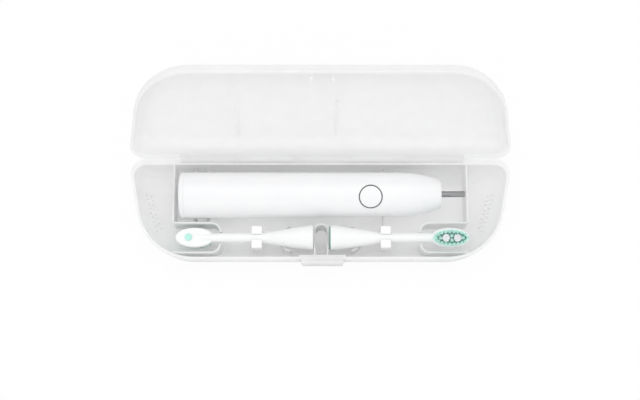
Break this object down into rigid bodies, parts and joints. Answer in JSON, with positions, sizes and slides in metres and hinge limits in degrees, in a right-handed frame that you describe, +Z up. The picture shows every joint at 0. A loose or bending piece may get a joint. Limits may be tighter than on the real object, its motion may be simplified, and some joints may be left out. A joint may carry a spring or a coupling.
{
  "type": "electric toothbrush travel case",
  "caption": "Long hinged plastic travel case, lid open, holding an electric toothbrush handle and brush heads in moulded bays, with a push latch and air holes.",
  "frame": {"origin": "centre of the flat underside of the base", "axes": "+X along the case to the side of the shaft, +Y from the front latch to the hinge, +Z up"},
  "size_m": [0.2362, 0.1139, 0.0734],
  "materials": {
    "case_plastic": "satin moulded polypropylene",
    "clip_plastic": "plain moulded plastic",
    "handle_plastic": "fine satin moulded ABS",
    "dark_ring": "smooth dark grey plastic",
    "seal_rubber": "moulded silicone rubber",
    "inner_plastic": "plain moulded plastic",
    "board_laminate": "solder mask",
    "cell_wrap": "shrink sleeve",
    "ferrite": "plain dark",
    "copper": "enamelled winding",
    "steel": "turned stainless steel",
    "mint_plastic": "smooth moulded plastic",
    "mint_nylon": "nylon filament",
    "white_nylon": "nylon filament"
  },
  "bodies": {
    "base": {"base_shell": "case_plastic", "hinge_pin": "steel", "latch_spring": "steel", "neck_clip_left": "clip_plastic", "neck_clip_right": "clip_plastic"},
    "lid": {"lid_shell": "case_plastic"},
    "latch": {"latch_button": "case_plastic"},
    "handle": {"handle_housing": "handle_plastic", "tail_cap": "handle_plastic", "tail_seal": "seal_rubber", "button_ring": "dark_ring", "chassis": "inner_plastic", "circuit_board": "board_laminate", "tactile_switch": "ferrite", "battery": "cell_wrap", "motor": "steel", "charging_coil": "copper", "coil_core": "ferrite", "shaft_seal": "seal_rubber"},
    "power_key": {"power_button": "handle_plastic"},
    "shaft": {"drive_shaft": "steel"},
    "left_head": {"head_stem_left": "handle_plastic", "cone_ring_left": "mint_plastic", "shaft_socket_left": "inner_plastic", "colour_dot_left": "mint_plastic", "mint_bristles_left": "mint_nylon", "white_tufts_left": "white_nylon"},
    "right_head": {"head_stem_right": "handle_plastic", "cone_ring_right": "mint_plastic", "shaft_socket_right": "inner_plastic", "colour_dot_right": "mint_plastic", "mint_bristles_right": "mint_nylon", "white_tufts_right": "white_nylon"}
  },
  "joints": [
    {"name": "lid_hinge", "type": "hinge", "parent": "base", "child": "lid", "pos_m": [0, 0.0326, 0.0225], "axis": [1, 0, 0], "range_deg": [0, 129]},
    {"name": "latch_press", "type": "slide", "parent": "base", "child": "latch", "axis": [0, 1, 0], "range_m": [0, 0.0012], "stiffness_N_per_m": 1500},
    {"name": "handle_lift", "type": "slide", "parent": "base", "child": "handle", "axis": [0, 0, 1], "range_m": [0, 0.06]},
    {"name": "power_press", "type": "slide", "parent": "handle", "child": "power_key", "axis": [0, 0.324, -0.946], "range_m": [0, 0.0005], "stiffness_N_per_m": 2500},
    {"name": "shaft_swing", "type": "hinge", "parent": "handle", "child": "shaft", "pos_m": [0.08, 0.01092, 0.01881], "axis": [1, 0.0055, 0.0019], "range_deg": [-5, 5], "stiffness_Nm_per_rad": 0.05},
    {"name": "left_head_lift", "type": "slide", "parent": "base", "child": "left_head", "axis": [0, 0, 1], "range_m": [0, 0.055]},
    {"name": "right_head_lift", "type": "slide", "parent": "base", "child": "right_head", "axis": [0, 0, 1], "range_m": [0, 0.055]}
  ]
}
